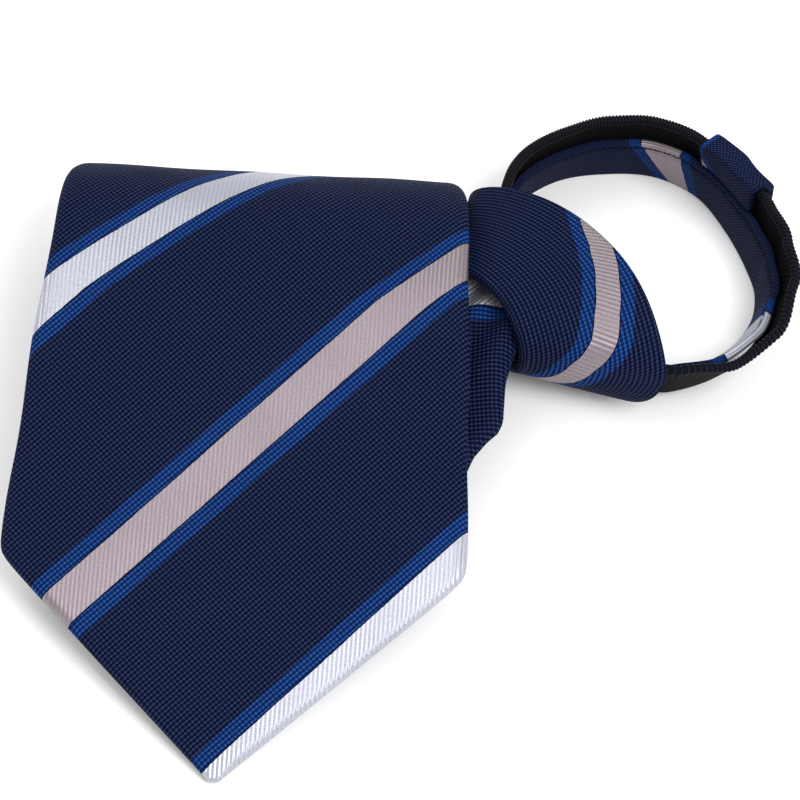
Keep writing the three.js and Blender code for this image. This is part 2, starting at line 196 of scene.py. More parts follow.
# Meshes
def as_object(name, points, faces, weave=None, stripes=None):
    """A mesh object from points in millimetres and faces, with the cloth's coordinates per corner."""
    mesh = bpy.data.meshes.new(name)
    moved = (np.asarray(points, float) + DRAWING_SHIFT) * MM
    mesh.from_pydata(moved.tolist(), [], [list(map(int, f)) for f in faces])
    for layer_name, values in (("weave", weave), ("stripes", stripes)):
        if values is not None:
            layer = mesh.uv_layers.new(name=layer_name)
            layer.data.foreach_set("uv", np.asarray(values, np.float32).ravel())
    mesh.polygons.foreach_set("use_smooth", [True] * len(mesh.polygons))
    mesh.update()
    return in_scene(name, mesh)


def loft(name, rings, weave, stripes, closed=False):
    """Joins rings of points into one closed body. The cloth's coordinates have one more column than
    the rings, so that a seam is where a ring starts, and on a closed row of rings one more row."""
    rows, size, _ = rings.shape
    stripes = np.stack([stripes, np.zeros_like(stripes)], axis=-1)
    faces = []
    corners = []
    for row in range(rows if closed else rows - 1):
        after = (row + 1) % rows
        for i in range(size):
            j = (i + 1) % size
            faces.append((row * size + i, row * size + j, after * size + j, after * size + i))
            corners += [(row, i), (row, i + 1), (row + 1, i + 1), (row + 1, i)]
    if not closed:
        last = (rows - 1) * size
        faces.append(tuple(range(size))[::-1])
        corners += [(0, i) for i in range(size)][::-1]
        faces.append(tuple(last + i for i in range(size)))
        corners += [(rows - 1, i) for i in range(size)]
    row_index, column_index = np.array(corners).T
    points = rings.reshape(-1, 3)
    if signed_volume(points, faces) < 0:
        order = []
        start = 0
        for f in faces:
            order += range(start + len(f) - 1, start - 1, -1)
            start += len(f)
        faces = [f[::-1] for f in faces]
        row_index, column_index = row_index[order], column_index[order]
    weave = weave[row_index, column_index]
    stripes = stripes[row_index, column_index]
    return as_object(name, points, faces, weave, stripes)


def signed_volume(points, faces):
    total = 0.0
    middle = points.mean(axis=0)
    for f in faces:
        corners = points[list(f)] - middle
        for k in range(1, len(f) - 1):
            total += float(np.dot(corners[0], np.cross(corners[k], corners[k + 1])))
    return total


# Blade: flat coordinates are s along from the tip, t across and h above the middle surface
blade_forward = heading(BLADE_HEADING)
blade_right = heading(BLADE_HEADING - 90)
slope = FRONT_SLOPE * DEGREE
front_direction = blade_forward * math.cos(slope) + np.array([0, 0, math.sin(slope)])
front_normal = np.cross(blade_right, front_direction)
rest_height = BLADE_THICKNESS / 2
tip_origin = np.array([TIP_POINT[0], TIP_POINT[1], rest_height])


def fold(at, turn, radius, skew=0.0):
    return {"at": at, "turn": turn, "radius": radius, "skew": skew, "length": radius * abs(turn) * DEGREE}


def bend(point, flat, crease):
    """Bends everything past a crease; a positive turn keeps the front face outside."""
    cosine = math.cos(crease["skew"] * DEGREE)
    sine = math.sin(crease["skew"] * DEGREE)
    reached = (flat[:, 0] - crease["at"]) * cosine + flat[:, 1] * sine
    side = math.copysign(1, crease["turn"])
    angle = np.minimum(reached / crease["radius"], abs(crease["turn"]) * DEGREE)
    across = (point[:, 0] - crease["at"]) * cosine + point[:, 1] * sine - crease["radius"] * angle
    along = -(point[:, 0] - crease["at"]) * sine + point[:, 1] * cosine
    arm = crease["radius"] + side * point[:, 2]
    forward = arm * np.sin(angle) + across * np.cos(angle)
    rise = side * (arm * np.cos(angle) - crease["radius"] - across * np.sin(angle))
    bent = np.stack(
        [crease["at"] + forward * cosine - along * sine, forward * sine + along * cosine, rise], axis=1
    )
    return np.where((reached > 0)[:, None], bent, point)


def place(flat, creases):
    point = flat
    for crease in reversed(creases):
        point = bend(point, flat, crease)
    return (
        tip_origin
        + point[:, :1] * front_direction
        + point[:, 1:2] * blade_right
        + point[:, 2:] * front_normal
    )


def blade_folds():
    crest = fold(FRONT_LENGTH, CREST_TURN, CREST_RADIUS)
    roll = fold(crest["at"] + crest["length"], ROLL_TURN, ROLL_RADIUS)
    under_start = roll["at"] + roll["length"]
    under_height = place(np.array([[under_start, 0.0, 0.0]]), [crest, roll])[0, 2]
    under_slope = CREST_TURN + ROLL_TURN - FRONT_SLOPE
    under_radius = (under_height - rest_height) / (1 + math.cos(under_slope * DEGREE))
    under = fold(under_start, 180 - under_slope, under_radius)
    back_start = under_start + under["length"]
    back_point = place(np.array([[back_start, 0.0, 0.0]]), [crest, roll, under])[0]

    stack = fold(0, 180, STACK_RADIUS, (RISING_HEADING - BLADE_HEADING) / 2)
    skew = stack["skew"] * DEGREE
    travel = stack["length"] / math.cos(skew)
    shift = heading(BLADE_HEADING - 90 + stack["skew"]) * (-stack["length"] * math.tan(skew))
    rising = heading(RISING_HEADING)
    mouth = np.array([*MOUTH_CENTRE, 0.0])
    foot = (back_point + shift) * np.array([1, 1, 0])
    to_mouth = mouth - foot
    crossing = blade_forward[0] * rising[1] - blade_forward[1] * rising[0]
    back_length = -(to_mouth[0] * rising[1] - to_mouth[1] * rising[0]) / crossing
    stack["at"] = back_start + back_length
    rising_foot = foot - blade_forward * back_length
    bend_sine = math.sin(RISING_BEND * DEGREE)
    run = (
        RISING_RADIUS * bend_sine
        + RISING_LENGTH * math.cos(RISING_BEND * DEGREE)
        + ENTRY_RADIUS * (bend_sine + math.sin((ENTRY_BEND - RISING_BEND) * DEGREE))
    )
    flat_part = float(np.linalg.norm(mouth - rising_foot)) - run
    lift = fold(stack["at"] + travel + flat_part, -RISING_BEND, RISING_RADIUS)
    entry = fold(lift["at"] + lift["length"] + RISING_LENGTH, ENTRY_BEND, ENTRY_RADIUS)
    return [crest, roll, under, stack, lift, entry], back_start, back_length, travel


BLADE_FOLDS, BACK_START, BACK_LENGTH, STACK_TRAVEL = blade_folds()
STACK = BLADE_FOLDS[3]
MOUTH_START = BLADE_FOLDS[5]["at"] + BLADE_FOLDS[5]["length"]
BLADE_END = MOUTH_START + ENTRY_DEPTH

# Rows are close together at the tip and in the tight fold
BLADE_STEP = 1.1
FOLD_STEP = 0.45
TIP_FINE_LENGTH = 2
TIGHT_RADIUS = 5
TIGHT_REACH = 0.6
CORNER_SOFTNESS = 1.6
EDGE_STEPS = 7
FLAT_STEPS = 44
# Soft waves of the padded cloth: height, and wavelengths along and across
WAVES = ((0.16, 47, 61), (0.10, 29, 23), (0.05, 13, 17))
WAVE_PHASE_ALONG = 1.3
WAVE_PHASE_ACROSS = 0.7
# The waves grow over the first length behind the tip and fade over the second before the hidden back
WAVE_GROWTH = 12
WAVE_FADE = 20
EDGE_WAVE = 0.22
EDGE_WAVE_LENGTH = 34
EDGE_WAVE_GROWTH = 20
GATHER_FOLD_HEIGHT = 0.55
GATHER_FOLDS = 2.5
GATHER_FOLD_PHASE = 0.8
# One half of the back lies over the other: height of the step, half its width, and where it is full
BACK_FLAP_STEP = 0.35
BACK_FLAP_EASE = 0.5
BACK_FLAP_GROWTH = 40
# Right edge beside the knot, where the roll's corner is rounded: place along, and how far it stands out
CORNER_EDGE = ((100, 0), (108, -0.4), (114, -1.0), (120, -1.7), (135, -1.7), (158, 0))
# Right edge of the stretch that enters the knot: distance before the mouth, and how far it stands out
RISING_EDGE = (
    (-44, 0), (-35, -1.5), (-28, -1.8), (-24, -1.2), (-20, 0.4), (-17, 2.1), (-14.5, 2.5),
    (-11, 1.7), (-7.5, 0.8), (-3, 0.6), (0, 0.7), (8, 0.6),
)
# On the stretch that enters the knot the stripes are this much further along the cloth
MOUTH_STRIPE = -5.5
MOUTH_STRIPE_ACROSS = -10
# They move on to there in the hidden fold: distance past its start, and over what length
DRIFT_START = 10
DRIFT_LENGTH = 30


def gathered(s):
    return np.clip((s - MOUTH_START + GATHER_LENGTH) / GATHER_LENGTH, 0, 1) ** GATHER_CURVE


def blade_half_width(s):
    full = BLADE_WIDTH / 2
    tip = mix(TIP_BLUNT, full, s / BLADE_TIP_LENGTH)
    natural = full - (s - BLADE_TIP_LENGTH) * BLADE_TAPER / 2
    in_mouth = MOUTH_WIDTH / 2 - KNOT_WALL - MOUTH_CLEARANCE
    body = mix(natural, in_mouth, gathered(s))
    wave = EDGE_WAVE * np.sin(2 * math.pi * s / EDGE_WAVE_LENGTH)
    wave = wave * smooth((s - BLADE_TIP_LENGTH) / EDGE_WAVE_GROWTH)
    return (tip + body - np.sqrt((tip - body) ** 2 + CORNER_SOFTNESS**2)) / 2 + wave * (s < BACK_START)


def blade_half_thickness(s):
    thin = mix(TIP_THICKNESS, BLADE_THICKNESS, np.clip(s / TIP_THINNING, 0, 1))
    return np.where(s < TIP_THINNING, thin, mix(BLADE_THICKNESS, GATHER_THICKNESS, gathered(s) ** 2)) / 2


def right_edge_shift(s):
    """How far the blade's right edge stands out from its drawn width."""
    corner = np.interp(s, *np.array(CORNER_EDGE).T)
    return corner + np.interp(s - MOUTH_START, *np.array(RISING_EDGE).T)


def row_slant(s):
    crease = -math.tan(STACK["skew"] * DEGREE)
    fold_end = STACK["at"] + STACK_TRAVEL
    before = smooth((s - BACK_START) / BACK_LENGTH)
    after = 1 - smooth((s - fold_end) / (BLADE_END - fold_end))
    return crease * np.where(s < STACK["at"], before, after)


def blade_rows():
    rows = [0.0]
    s = 0.0
    tight_folds = [f["at"] + STACK_TRAVEL / 2 for f in BLADE_FOLDS if f["radius"] < TIGHT_RADIUS]
    while s < BLADE_END:
        tight = any(abs(s - middle) < STACK_TRAVEL * TIGHT_REACH for middle in tight_folds)
        s = min(BLADE_END, s + (FOLD_STEP if tight or s < TIP_FINE_LENGTH else BLADE_STEP))
        rows.append(s)
    return np.array(rows)


def ribbon_profile():
    """Places round a ribbon's section, from the middle of its back over the right edge and the front:
    how far across as a share of the flat half, how far into the rounded edge, and which face."""
    flat = np.linspace(0, 1, FLAT_STEPS // 2 + 1)[:-1]
    turn = np.linspace(0, 1, EDGE_STEPS)[:-1]
    quarter = [(x, 0.0) for x in flat] + [(1.0, b) for b in turn]
    back_right = [(x, b, 1, -1) for x, b in quarter]
    tip_right = [(1.0, 1.0, 1, 0)]
    front_right = [(x, b, 1, 1) for x, b in quarter[::-1]]
    front_left = [(x, b, -1, 1) for x, b in quarter[1:]]
    tip_left = [(1.0, 1.0, -1, 0)]
    back_left = [(x, b, -1, -1) for x, b in quarter[::-1][:-1]]
    return np.array(back_right + tip_right + front_right + front_left + tip_left + back_left)


def blade_piece():
    rows = blade_rows()
    profile = ribbon_profile()
    inward, round_share, side, face = profile.T
    phase_end = MOUTH_START + MOUTH_STRIPE - MOUTH_STRIPE_ACROSS * STRIPE_SLOPE
    phase = WHITE_MIDDLE + STRIPE_PERIOD * round((phase_end - WHITE_MIDDLE) / STRIPE_PERIOD) - phase_end
    crest_gain = CREST_STRIPE_GAIN * CREST_STRIPE_LENGTH
    rings = []
    weave = []
    stripes = []
    for s in rows:
        half = float(blade_half_width(s))
        thick = float(blade_half_thickness(s))
        edge = min(LARGEST_EDGE_SHARE, BLADE_EDGE_ROUND / half)
        turn = round_share * math.pi / 2
        reach = np.where(side > 0, half + right_edge_shift(s), half)
        t = side * reach * (inward * (1 - edge) + np.sin(turn) * edge)
        h = face * thick * np.cos(turn)
        along = s + t * row_slant(s)
        body = np.cos(turn) * (face != 0)
        swell = sum(
            height
            * np.sin(2 * math.pi * along / a + WAVE_PHASE_ALONG * i)
            * np.cos(2 * math.pi * t / b + WAVE_PHASE_ACROSS * i)
            for i, (height, a, b) in enumerate(WAVES)
        )
        calm = smooth(s / WAVE_GROWTH) * (1 - smooth((s - BACK_START + WAVE_FADE) / WAVE_FADE))
        h = h + body * swell * calm
        gather = float(gathered(s)) ** 2
        h = h + body * (face > 0) * gather * GATHER_FOLD_HEIGHT * (
            np.cos(2 * math.pi * GATHER_FOLDS * t / (2 * half) + GATHER_FOLD_PHASE) - 1
        )
        flap = smooth((t + BACK_FLAP_EASE) / (2 * BACK_FLAP_EASE)) * smooth(s / BACK_FLAP_GROWTH)
        h = h + (face < 0) * body * flap * BACK_FLAP_STEP * (1 - gather)
        rings.append(place(np.stack([along, t, h], axis=1), BLADE_FOLDS))
        past_crest = CREST_STRIPE_GAIN * np.clip(along - FRONT_LENGTH, 0, CREST_STRIPE_LENGTH)
        past_crest = np.append(past_crest, past_crest[0])
        moved_on = smooth((s - STACK["at"] - DRIFT_START) / DRIFT_LENGTH)
        drift = past_crest + (phase - crest_gain) * moved_on
        round_back = np.where(face < 0, side * 2 * half - t, t)
        closing = np.append(round_back, -2 * half)
        along_closed = np.append(along, along[0])
        weave.append(np.stack([along_closed, closing], axis=1))
        stripes.append(along_closed - STRIPE_SLOPE * closing + drift)
    piece = loft("blade_cloth", np.array(rings), np.array(weave), np.array(stripes))
    widths = 2 * blade_half_width(rows)
    area = float(np.sum((widths[1:] + widths[:-1]) / 2 * np.diff(rows)))
    return piece, area, rows[-1]


# Knot
KNOT_ROWS = 64
KNOT_INNER_ROWS = 21
KNOT_SIDES = 220
LIP_STEPS = 5
KNOT_SPAN = 20.0
# The mouth is this much wider than in the part's source
MOUTH_EASE = 1.6
KNOT_STRIPE_HALF = 1.8
KNOT_BORDER = 1.9
# The silver stripe's middle on the knot: angle round it, and share from mouth to rim
KNOT_STRIPE = (
    (-90, -0.10), (-45, 0.17), (-28, 0.25), (-5, 0.355), (17, 0.488), (36, 0.595),
    (55, 0.675), (72, 0.785), (86, 0.915), (95, 1.08), (110, 1.35), (160, 2.2), (270, 3.0),
)
knot_axis = heading(KNOT_HEADING)
knot_across = heading(KNOT_HEADING - 90)


def knot_point(share, angle, inset, outward):
    power = 2 / KNOT_SQUARENESS
    sideways = signed_power(np.cos(angle), power)
    upward = signed_power(np.sin(angle), power)
    half_width = mix(MOUTH_WIDTH + MOUTH_EASE, RIM_WIDTH, share) / 2 - inset
    half_depth = mix(MOUTH_DEPTH, RIM_DEPTH, share) / 2 - inset
    height = mix(MOUTH_HEIGHT, RIM_DEPTH / 2, share)
    bulge = mix(MOUTH_BULGE, RIM_BULGE, share) * (1 - sideways**2) * np.maximum(0, upward)
    cutback = RIM_CUTBACK * share * np.maximum(0, -upward)
    flare = 1 + RIM_FLARE * share * upward
    base = np.stack(
        [
            np.full_like(angle, mix(MOUTH_CENTRE[0], RIM_CENTRE[0], share)),
            np.full_like(angle, mix(MOUTH_CENTRE[1], RIM_CENTRE[1], share)),
            height + half_depth * upward,
        ],
        axis=1,
    )
    return (
        base
        + (half_width * sideways * flare)[:, None] * knot_across
        + (bulge - cutback + outward)[:, None] * knot_axis
    )


def knot_piece():
    half_turn = math.pi / 2
    angle = np.linspace(-half_turn, 3 * half_turn, KNOT_SIDES + 1)
    turns = [(i + 1) / (LIP_STEPS + 1) * math.pi for i in range(LIP_STEPS)]
    half_wall = KNOT_WALL / 2
    track = [(share, 0.0, 0.0) for share in np.linspace(0, 1, KNOT_ROWS)]
    track += [(1.0, half_wall * (1 - math.cos(a)), KNOT_LIP_ROUND * math.sin(a)) for a in turns]
    track += [(share, KNOT_WALL, 0.0) for share in np.linspace(1, 0, KNOT_INNER_ROWS)]
    track += [(0.0, half_wall * (1 + math.cos(a)), -KNOT_LIP_ROUND * math.sin(a)) for a in turns]
    stripe_angles, stripe_shares = np.array(KNOT_STRIPE).T
    middle_share = np.interp(angle / DEGREE, stripe_angles, stripe_shares)
    rings = []
    weave = []
    stripes = []
    travelled = 0.0
    previous = None
    for share, inset, outward in track + track[:1]:
        points = knot_point(share, angle, inset, np.full_like(angle, outward))
        if previous is not None:
            travelled += abs(share - previous[0]) * KNOT_SPAN
            travelled += abs(inset - previous[1]) + abs(outward - previous[2])
        previous = (share, inset, outward)
        steps = np.linalg.norm(np.diff(points, axis=0), axis=1)
        around = -np.concatenate([[0], np.cumsum(steps)])
        around -= np.interp(half_turn, angle, around)
        with_thread = (travelled + STRIPE_SLOPE * around) / STRIPE_LENGTH
        over_thread = (around - STRIPE_SLOPE * travelled) / STRIPE_LENGTH
        weave.append(np.stack([with_thread, over_thread], axis=1))
        off = (share - middle_share) * KNOT_SPAN
        stripes.append(stripe_place(off, KNOT_STRIPE_HALF, SILVER_MIDDLE, KNOT_BORDER))
        rings.append(points[:-1])
    return loft("knot_cloth", np.array(rings[:-1]), np.array(weave), np.array(stripes), closed=True)


# Neck loop: sections stand along its foot
def loop_track():
    """Points, directions and leans along the closed loop, by share of its length."""
    stations = [np.array([*LOOP_CENTRE, 0.0]) + heading(a) * r * LOOP_RADIUS for a, r, _ in LOOP_STATIONS]
    count = len(stations)
    per_span = LOOP_SAMPLES // count
    points = []
    leans = []
    for i in range(count):
        p0, p1, p2, p3 = (stations[(i + k - 1) % count] for k in range(4))
        d0, d1, d2 = (math.sqrt(np.linalg.norm(b - a)) for a, b in ((p0, p1), (p1, p2), (p2, p3)))
        m1 = ((p1 - p0) / d0 - (p2 - p0) / (d0 + d1) + (p2 - p1) / d1) * d1
        m2 = ((p2 - p1) / d1 - (p3 - p1) / (d1 + d2) + (p3 - p2) / d2) * d1
        for k in range(per_span):
            x = k / per_span
            points.append(
                p1 + m1 * x + (3 * (p2 - p1) - 2 * m1 - m2) * x**2 + (2 * (p1 - p2) + m1 + m2) * x**3
            )
            leans.append(mix(LOOP_STATIONS[i][2], LOOP_STATIONS[(i + 1) % count][2], float(smooth(x))))
    points.append(points[0])
    leans.append(leans[0])
    points = np.array(points)
    lengths = np.concatenate([[0], np.cumsum(np.linalg.norm(np.diff(points, axis=0), axis=1))])
    return points, np.array(leans), lengths


LOOP_POINTS, LOOP_LEANS, LOOP_LENGTHS = loop_track()
LOOP_LENGTH = float(LOOP_LENGTHS[-1])
STRAP_END = float(LOOP_LENGTHS[(len(LOOP_STATIONS) - 1) * (LOOP_SAMPLES // len(LOOP_STATIONS))])


def loop_foot(travel):
    return np.stack([np.interp(travel, LOOP_LENGTHS, LOOP_POINTS[:, k]) for k in range(3)], axis=1)


def on_loop(travel, out, height):
    """Points beside the loop: travel along its foot, out from the strap's middle face, and height up
    its leaning side. The three are arrays of one length, in millimetres."""
    travel = np.asarray(travel, float)
    inside = np.clip(travel, 0, LOOP_LENGTH)
    foot = loop_foot(inside)
    ahead = loop_foot((inside + LOOP_PROBE) % LOOP_LENGTH)
    tangent = ahead - loop_foot((inside - LOOP_PROBE) % LOOP_LENGTH)
    tangent /= np.linalg.norm(tangent, axis=1)[:, None]
    outward = np.stack([tangent[:, 1], -tangent[:, 0], np.zeros(len(travel))], axis=1)
    lean = np.interp(inside, LOOP_LENGTHS, LOOP_LEANS) * DEGREE
    up = np.array([0, 0, 1.0])
    edge = np.cos(lean)[:, None] * up + np.sin(lean)[:, None] * outward
    side = np.cos(lean)[:, None] * outward - np.sin(lean)[:, None] * up
    out = np.asarray(out, float)[:, None]
    height = np.asarray(height, float)[:, None]
    drop = (np.abs(np.sin(lean)) * STRAP_THICKNESS / 2)[:, None]
    return foot + side * out + edge * height + up * drop


def travel_at_angle(degrees):
    offsets = LOOP_POINTS[:, :2] - np.array(LOOP_CENTRE)
    angles = np.arctan2(offsets[:, 1], offsets[:, 0]) / DEGREE
    usable = LOOP_LENGTHS <= STRAP_END
    return float(LOOP_LENGTHS[usable][np.argmin(np.abs(angles[usable] - degrees))])


HALF_STRAP = STRAP_THICKNESS / 2
TAPE_IN = HALF_STRAP + TAPE_CLEARANCE
TAPE_MIDDLE = TAPE_IN + TAPE_THICKNESS / 2
TAPE_TOP = TAPE_START + TAPE_WIDTH
COIL_BOTTOM = TAPE_TOP + GAP
COIL_TOP = COIL_BOTTOM + COIL_HEIGHT
SLEEVE_MIDDLE = travel_at_angle(SLEEVE_ANGLE)
RIGHT_END = SLEEVE_MIDDLE - TAPE_END_GAP / 2
LEFT_START = SLEEVE_MIDDLE + TAPE_END_GAP / 2
LOOP_STEP = 0.4
# The stripe coordinate of plain cloth, for pieces that have no stripes
PLAIN_PLACE = 90.0
# A side is at least this many times as long as the rounding at one of its corners
CORNER_ROOM = 2.01


def rounded_outline(corners, radius, step):
    """A closed outline through the corners, with each corner rounded and the sides split."""
    corners = [np.array(c, float) for c in corners]
    points = []
    count = len(corners)
    for i in range(count):
        before, here, after = corners[i - 1], corners[i], corners[(i + 1) % count]
        following = corners[(i + 2) % count]
        side_before, side_after, side_next = (
            np.linalg.norm(b - a) for a, b in ((here, before), (here, after), (after, following))
        )
        reach = min(radius, side_before / CORNER_ROOM, side_after / CORNER_ROOM)
        start = here + (before - here) / side_before * reach
        end = here + (after - here) / side_after * reach
        for x in (0.0, 0.25, 0.5, 0.75, 1.0):
            points.append(start * (1 - x) ** 2 + here * 2 * x * (1 - x) + end * x**2)
        next_reach = min(radius, side_after / CORNER_ROOM, side_next / CORNER_ROOM)
        side_end = after + (here - after) / side_after * next_reach
        parts = max(1, int(np.linalg.norm(side_end - end) / step))
        points += [end + (side_end - end) * k / parts for k in range(1, parts)]
    return np.array(points)


def block_outline(across, up, radius, step):
    """A rounded block's outline by its reach across the strap and up it."""
    corners = [(across[i], up[j]) for i, j in ((0, 0), (1, 0), (1, 1), (0, 1))]
    return rounded_outline(corners, radius, step)


def along_loop(name, outline, start, end, shape=None, stripe_at=None):
    """A band that follows the loop: outline is (out, height) points, shape moves them by place."""
    travel = np.linspace(start, end, int((end - start) / LOOP_STEP) + 1)
    closed = np.vstack([outline, outline[:1]])
    round_it = np.concatenate([[0], np.cumsum(np.linalg.norm(np.diff(closed, axis=0), axis=1))])
    rings = []
    weave = []
    stripes = []
    for place_along in travel:
        out, height = outline.T.copy()
        if shape is not None:
            out, height = shape(place_along, out, height)
        rings.append(on_loop(np.full(len(out), place_along), out, height))
        weave.append(np.stack([np.full(len(round_it), place_along), round_it], axis=1))
        if stripe_at is None:
            stripes.append(np.full(len(round_it), PLAIN_PLACE))
        else:
            stripes.append(stripe_at(place_along, closed[:, 0], closed[:, 1]))
    return loft(name, np.array(rings), np.array(weave), np.array(stripes))


# Strap: its stripes' middles by travel along the loop, the silver one's slant and growth with height
STRAP_SILVER = 71.8
STRAP_SILVER_HALF = 2.1
STRAP_SILVER_SLANT = 0.33
STRAP_SILVER_GROWTH = 0.2
STRAP_WHITE = 26.7
STRAP_WHITE_HALF = 5.0
STRAP_BORDER = 1.7
# Its section: how round the edges are, how far its faces swell, and how far they lie in without that
STRAP_ROUND = 0.55
STRAP_SIDE_STEP = 0.45
STRAP_PUFF = 0.12
STRAP_SLACK = 0.16
# Stitch line near the upper edge, on both faces
STITCH_DROP = 1.25
STITCH_DEPTH = 0.28
STITCH_GROOVE = 0.5
STITCH_RIPPLE = 0.07
STITCH_PITCH = 2.1
STITCH_LENGTH = 1.5
STITCH_RADIUS = 0.16
STITCH_SUNK = 0.1
STITCH_MARGIN = 2.0
STITCH_SIDES = 6
# A stitch's rounded end, in shares of its radius: how far in from the end, and how wide
STITCH_ENDS = ((-0.9, 0.4), (-0.3, 0.9), (0.5, 1.0))
# A rod more upright than this is set out from the x axis, as the upright one is too close to it
STEEP = 0.8


def strap_shape(travel, out, height):
    """The strap's faces swell a little between its edges and dip at the stitch line."""
    dip = np.exp(-(((STRAP_WIDTH - STITCH_DROP - height) / STITCH_GROOVE) ** 2))
    ripple = STITCH_RIPPLE * np.sin(travel * 2 * math.pi / STITCH_PITCH) * dip
    puff = STRAP_PUFF * np.sin(math.pi * np.clip(height / (STRAP_WIDTH - STITCH_DROP), 0, 1))
    face = np.clip(out / HALF_STRAP, -1, 1)
    return out - face * (STITCH_DEPTH * dip + STRAP_SLACK - puff - ripple), height


def strap_stripes(travel, out, height):
    if travel < (STRAP_SILVER + STRAP_WHITE) / 2:
        off = np.full_like(height, travel - STRAP_WHITE)
        return stripe_place(off, STRAP_WHITE_HALF, WHITE_MIDDLE, STRAP_BORDER)
    off = travel - STRAP_SILVER - STRAP_SILVER_SLANT * height
    half = STRAP_SILVER_HALF + STRAP_SILVER_GROWTH * height
    return stripe_place(off, half, SILVER_MIDDLE + STRIPE_PERIOD, STRAP_BORDER)


def strap_piece():
    outline = block_outline((-HALF_STRAP, HALF_STRAP), (0, STRAP_WIDTH), STRAP_ROUND, STRAP_SIDE_STEP)
    return along_loop("strap_cloth", outline, 0, STRAP_END, strap_shape, strap_stripes)


def capsules(name, ends, radius, sides):
    """Short rounded rods between pairs of points, joined in one object."""
    points = []
    faces = []
    for a, b in ends:
        a = np.array(a)
        b = np.array(b)
        direction = (b - a) / np.linalg.norm(b - a)
        helper = np.array([0, 0, 1.0]) if abs(direction[2]) < STEEP else np.array([1.0, 0, 0])
        u = np.cross(direction, helper)
        u /= np.linalg.norm(u)
        v = np.cross(direction, u)
        base = len(points)
        places = [(a + direction * radius * x, r) for x, r in STITCH_ENDS]
        places += [(b - direction * radius * x, r) for x, r in STITCH_ENDS[::-1]]
        for centre, share in places:
            for k in range(sides):
                turn = 2 * math.pi * k / sides
                points.append(centre + (u * math.cos(turn) + v * math.sin(turn)) * radius * share)
        for row in range(len(places) - 1):
            for k in range(sides):
                n = (k + 1) % sides
                at = base + row * sides
                faces.append((at + k, at + sides + k, at + sides + n, at + n))
        last = base + (len(places) - 1) * sides
        faces.append(tuple(base + k for k in range(sides)))
        faces.append(tuple(last + k for k in range(sides))[::-1])
    return as_object(name, points, faces)


def strap_stitches():
    ends = []
    height = STRAP_WIDTH - STITCH_DROP
    travel = STITCH_MARGIN
    while travel < STRAP_END - STITCH_MARGIN:
        for face in (-1, 1):
            out = face * (HALF_STRAP - STITCH_DEPTH - STITCH_SUNK)
            pair = on_loop([travel, travel + STITCH_LENGTH], [out, out], [height, height])
            ends.append((pair[0], pair[1]))
        travel += STITCH_PITCH
    return capsules("strap_stitches", ends, STITCH_RADIUS, STITCH_SIDES)


# Tape: it reaches this much further under the coil than in the part's source
TAPE_UNDER_COIL = 0.65
TAPE_ROUND = 0.35
TAPE_SIDE_STEP = 0.5
TAPE_THINNING = 0.08
# Ribs where the coil is sewn on: below the tape's edge, how wide, how high and how far apart
TAPE_RIB_DROP = 1.0
TAPE_RIB_WIDTH = 0.7
TAPE_RIB_HEIGHT = 0.05
TAPE_RIB_PITCH = 0.9


def tape_shape(travel, out, height):
    """The woven tape thickens at its coil edge, where the stitches hold the coil."""
    near_coil = np.exp(-(((TAPE_TOP - TAPE_RIB_DROP - height) / TAPE_RIB_WIDTH) ** 2))
    face = np.sign(out - TAPE_MIDDLE)
    rib = TAPE_RIB_HEIGHT * np.sin(travel * 2 * math.pi / TAPE_RIB_PITCH)
    return out + face * (near_coil * (TAPE_RIB_HEIGHT + rib) - TAPE_THINNING), height


def tape_piece(name, start, end):
    across = (TAPE_IN, TAPE_IN + TAPE_THICKNESS)
    up = (TAPE_START, TAPE_TOP + TAPE_UNDER_COIL)
    outline = block_outline(across, up, TAPE_ROUND, TAPE_SIDE_STEP)
    return along_loop(name, outline, start, end, tape_shape)


COIL_PITCH = 0.64
COIL_WIRE = 0.21
COIL_SIDES = 6
COIL_STEPS = 14
COIL_FLATNESS = 0.75
COIL_CORE_OUT = 0.8
COIL_CORE_UP = 0.76
COIL_CORE_SIDES = 8


def coil_piece(name, start, end):
    """A toothed coil: one wire wound in flattened turns round a thin core, along the tape's edge."""
    turns = int((end - start) / COIL_PITCH)
    count = turns * COIL_STEPS
    phase = np.linspace(0, turns * 2 * math.pi, count + 1)
    travel = np.linspace(start + COIL_WIRE, end - COIL_WIRE, count + 1)
    half_out = COIL_WIDTH / 2 - COIL_WIRE
    half_up = COIL_HEIGHT / 2 - COIL_WIRE
    middle = (COIL_BOTTOM + COIL_TOP) / 2
    out = TAPE_MIDDLE + half_out * signed_power(np.cos(phase), COIL_FLATNESS)
    height = middle + half_up * signed_power(np.sin(phase), COIL_FLATNESS)
    centres = on_loop(travel, out, height)
    tangents = np.gradient(centres, axis=0)
    tangents /= np.linalg.norm(tangents, axis=1)[:, None]
    axis_points = on_loop(travel, np.full(count + 1, TAPE_MIDDLE), np.full(count + 1, middle))
    arm = centres - axis_points
    arm -= tangents * (arm * tangents).sum(axis=1)[:, None]
    arm /= np.linalg.norm(arm, axis=1)[:, None]
    other = np.cross(tangents, arm)
    turn = np.linspace(0, 2 * math.pi, COIL_SIDES + 1)[:-1]
    rings = centres[:, None] + COIL_WIRE * (
        np.cos(turn)[None, :, None] * arm[:, None] + np.sin(turn)[None, :, None] * other[:, None]
    )
    no_cloth = np.zeros((count + 1, COIL_SIDES + 1, 2))
    return loft(name, rings, no_cloth, no_cloth[..., 0])


def coil_core(name, start, end):
    turn = np.linspace(0, 2 * math.pi, COIL_CORE_SIDES + 1)[:-1]
    middle = (COIL_BOTTOM + COIL_TOP) / 2
    out = TAPE_MIDDLE + COIL_CORE_OUT * np.cos(turn)
    outline = np.stack([out, middle + COIL_CORE_UP * np.sin(turn)], axis=1)
    return along_loop(name, outline, start, end)


